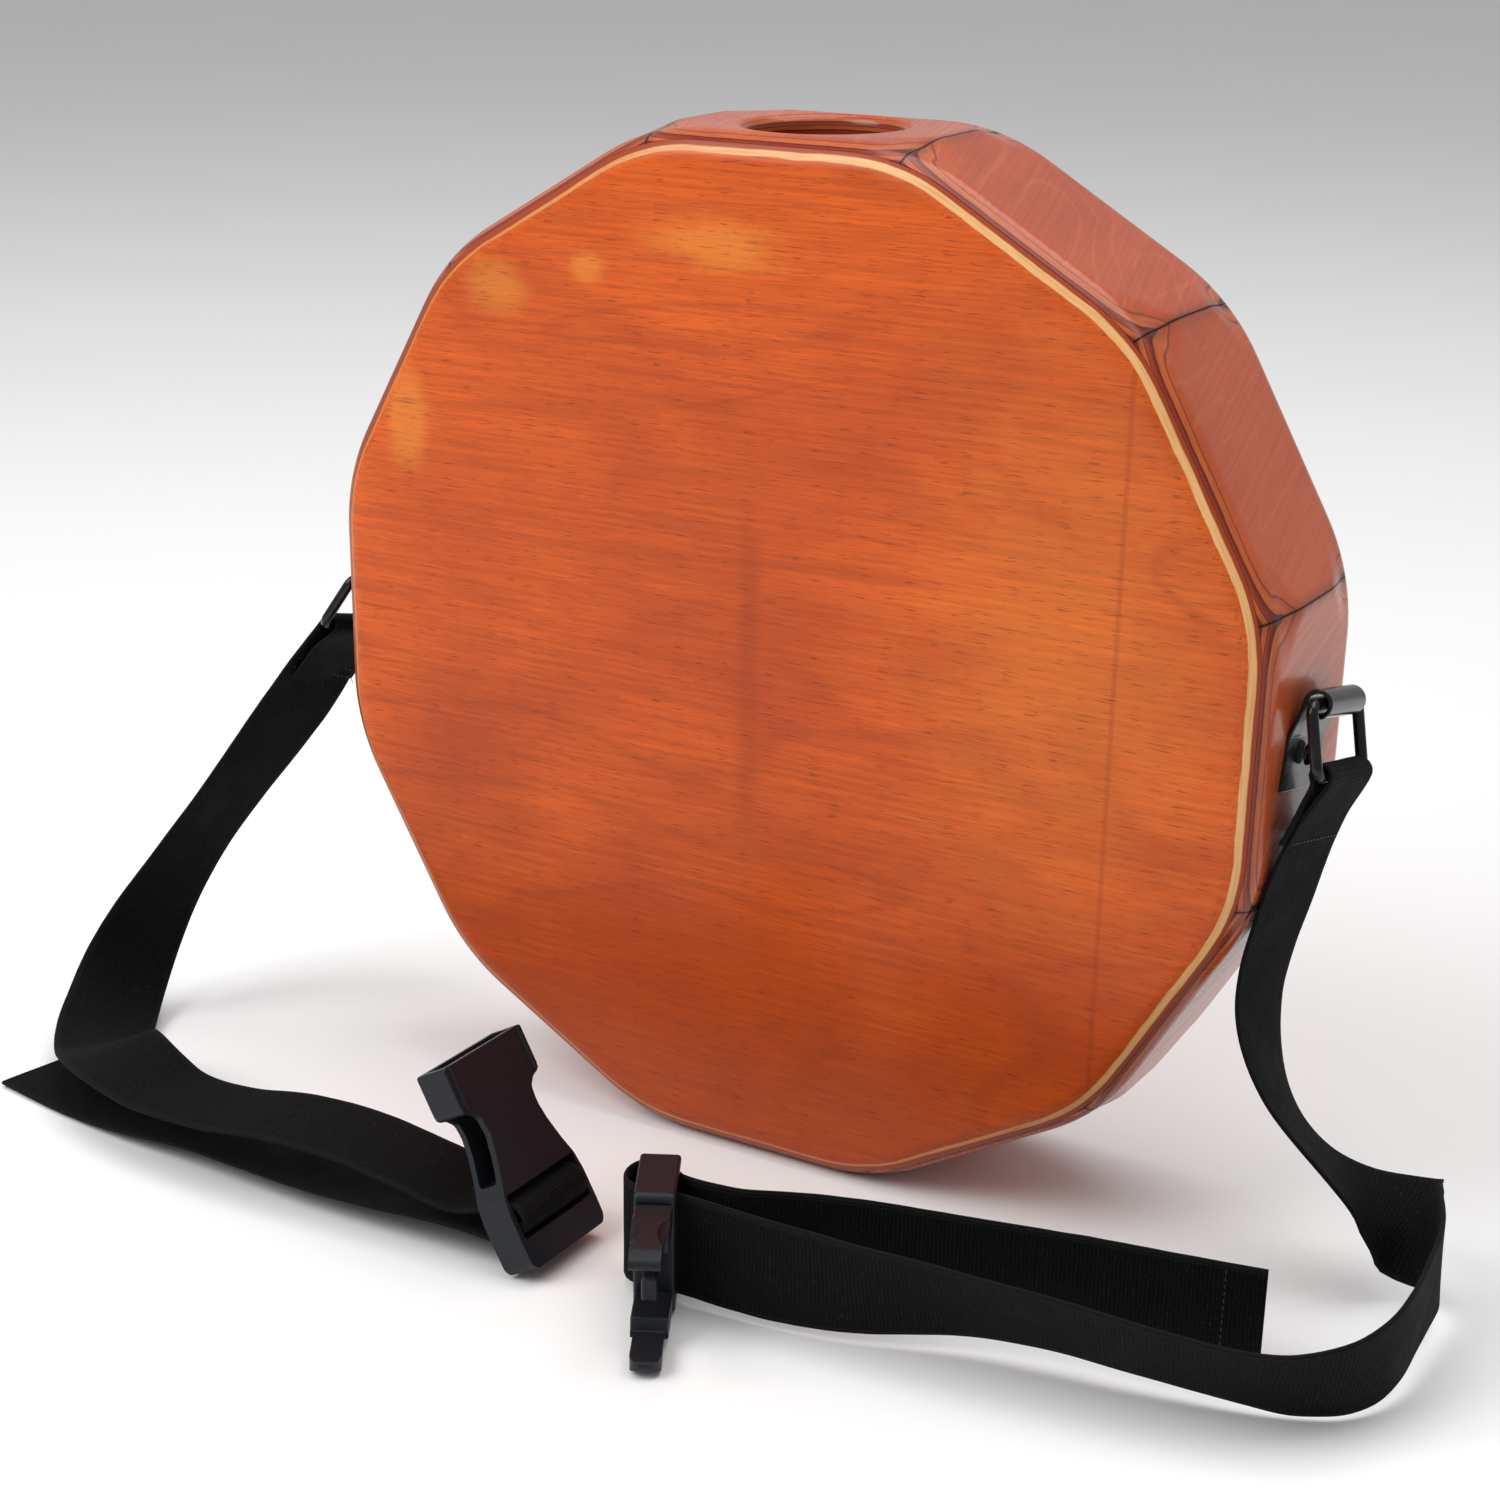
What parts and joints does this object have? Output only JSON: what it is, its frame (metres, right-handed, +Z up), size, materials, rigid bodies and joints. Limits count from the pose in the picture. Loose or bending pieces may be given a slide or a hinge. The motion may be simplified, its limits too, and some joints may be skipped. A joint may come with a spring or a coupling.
{
  "type": "travel cajon",
  "caption": "Shallow polygonal plywood box drum with a sound hole in its top stave, side strap rings and two webbing straps that end in a side-release buckle.",
  "frame": {"origin": "centre of the bottom stave's rest face, on the floor under the drum", "axes": "+X to the right of the playing face, +Y from the front playing face to the back, +Z up from the rest face to the sound hole"},
  "size_m": [0.5543, 0.236, 0.37],
  "materials": {
    "face": "satin",
    "stave": "gloss",
    "steel": "gloss",
    "webbing": "matte",
    "plastic": "satin"
  },
  "bodies": {
    "drum": {"front_plate": "face", "back_plate": "face", "stave_01": "stave", "stave_02": "stave", "stave_03": "stave", "stave_04": "stave", "stave_05": "stave", "stave_06": "stave", "stave_07": "stave", "stave_08": "stave", "stave_09": "stave", "stave_10": "stave", "stave_11": "stave", "stave_12": "stave", "bracket_right": "steel", "bracket_left": "steel", "bracket_screw_right": "steel", "bracket_screw_left": "steel", "strap_right": "webbing", "strap_left": "webbing", "strap_right_tail": "webbing", "strap_left_tail": "webbing", "buckle_socket": "plastic", "buckle_prong_base": "plastic"},
    "ring_right": {"ring_right": "steel"},
    "ring_left": {"ring_left": "steel"},
    "prong_upper": {"buckle_prong_upper": "plastic"},
    "prong_lower": {"buckle_prong_lower": "plastic"}
  },
  "joints": [
    {"name": "ring_right_swing", "type": "hinge", "parent": "drum", "child": "ring_right", "pos_m": [0.1932, 0, 0.201], "axis": [0, -0.977, 0.213], "range_deg": [-18, 155], "deforming": ["strap_right"]},
    {"name": "ring_left_swing", "type": "hinge", "parent": "drum", "child": "ring_left", "pos_m": [-0.1932, 0, 0.1835], "axis": [0, 0.9703, -0.2419], "range_deg": [-35, 140], "deforming": ["strap_left"]},
    {"name": "prong_upper_flex", "type": "hinge", "parent": "drum", "child": "prong_upper", "pos_m": [0.03313, -0.15716, 0.0373], "axis": [0.8797, 0.4756, 0], "range_deg": [0, 7], "stiffness_Nm_per_rad": 0.5},
    {"name": "prong_lower_flex", "type": "hinge", "parent": "drum", "child": "prong_lower", "pos_m": [0.03313, -0.15716, 0.0083], "axis": [-0.8797, -0.4756, 0], "range_deg": [0, 7], "stiffness_Nm_per_rad": 0.5}
  ]
}
